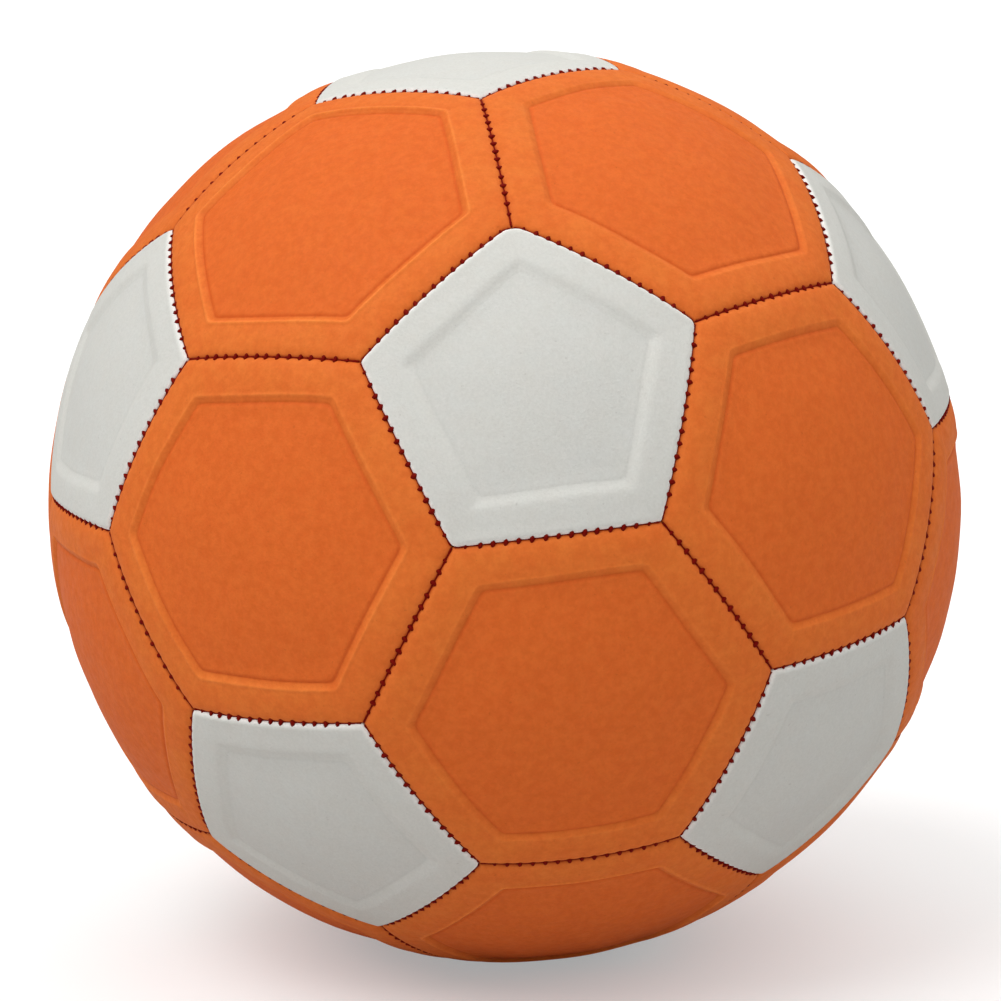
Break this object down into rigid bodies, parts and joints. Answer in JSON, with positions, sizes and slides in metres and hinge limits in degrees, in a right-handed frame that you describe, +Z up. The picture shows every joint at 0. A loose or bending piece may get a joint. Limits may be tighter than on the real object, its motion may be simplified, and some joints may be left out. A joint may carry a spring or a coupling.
{
  "type": "soccer ball",
  "caption": "Stitched soccer ball of white five-sided and orange six-sided padded panels with pressed-in middles, round a rubber bladder with a self-sealing needle valve.",
  "frame": {"origin": "centre of the ball", "axes": "+Z up as the ball rests, -Y towards the white panel at the middle of the front; the valve is in the six-sided panel at the lower left of the back"},
  "size_m": [0.2192, 0.2198, 0.2188],
  "materials": {
    "white_cover": "soft matt foam-backed cover with a fine grain",
    "orange_cover": "soft matt foam-backed cover with a fine grain",
    "seam_thread": "twisted maroon sewing thread",
    "bladder_rubber": "smooth moulded rubber",
    "valve_rubber": "moulded rubber",
    "core_rubber": "moulded rubber",
    "patch_cloth": "rubberised woven cloth",
    "weight_rubber": "dull dense rubber"
  },
  "bodies": {
    "ball": {"white_panel_01": "white_cover", "white_panel_02": "white_cover", "white_panel_03": "white_cover", "white_panel_04": "white_cover", "white_panel_05": "white_cover", "white_panel_06": "white_cover", "white_panel_07": "white_cover", "white_panel_08": "white_cover", "white_panel_09": "white_cover", "white_panel_10": "white_cover", "white_panel_11": "white_cover", "white_panel_12": "white_cover", "orange_panel_01": "orange_cover", "orange_panel_02": "orange_cover", "orange_panel_03": "orange_cover", "orange_panel_04": "orange_cover", "orange_panel_05": "orange_cover", "orange_panel_06": "orange_cover", "orange_panel_07": "orange_cover", "orange_panel_08": "orange_cover", "orange_panel_09": "orange_cover", "orange_panel_10": "orange_cover", "orange_panel_11": "orange_cover", "orange_panel_12": "orange_cover", "orange_panel_13": "orange_cover", "orange_panel_14": "orange_cover", "orange_panel_15": "orange_cover", "orange_panel_16": "orange_cover", "orange_panel_17": "orange_cover", "orange_panel_18": "orange_cover", "orange_panel_19": "orange_cover", "orange_valve_panel": "orange_cover", "seam_thread_01": "seam_thread", "seam_thread_02": "seam_thread", "seam_thread_03": "seam_thread", "seam_thread_04": "seam_thread", "seam_thread_05": "seam_thread", "seam_thread_06": "seam_thread", "seam_thread_07": "seam_thread", "seam_thread_08": "seam_thread", "seam_thread_09": "seam_thread", "seam_thread_10": "seam_thread", "seam_thread_11": "seam_thread", "seam_thread_12": "seam_thread", "bladder": "bladder_rubber", "valve_housing": "valve_rubber", "valve_core": "core_rubber", "valve_patch": "patch_cloth", "balance_weight": "weight_rubber"},
    "lip_a": {"valve_lip_a": "core_rubber"},
    "lip_b": {"valve_lip_b": "core_rubber"}
  },
  "joints": [
    {"name": "lip_a_opening", "type": "hinge", "parent": "ball", "child": "lip_a", "pos_m": [-0.0588, 0.06661, -0.01572], "axis": [-0.7301, -0.6727, -0.1198], "range_deg": [0, 12], "stiffness_Nm_per_rad": 0.001},
    {"name": "lip_b_opening", "type": "hinge", "parent": "ball", "child": "lip_b", "pos_m": [-0.05773, 0.06628, -0.02039], "axis": [0.7301, 0.6727, 0.1198], "range_deg": [0, 12], "stiffness_Nm_per_rad": 0.001}
  ],
  "couplings": [
    {"joint": "lip_b_opening", "follows": "lip_a_opening", "ratio": 1}
  ]
}
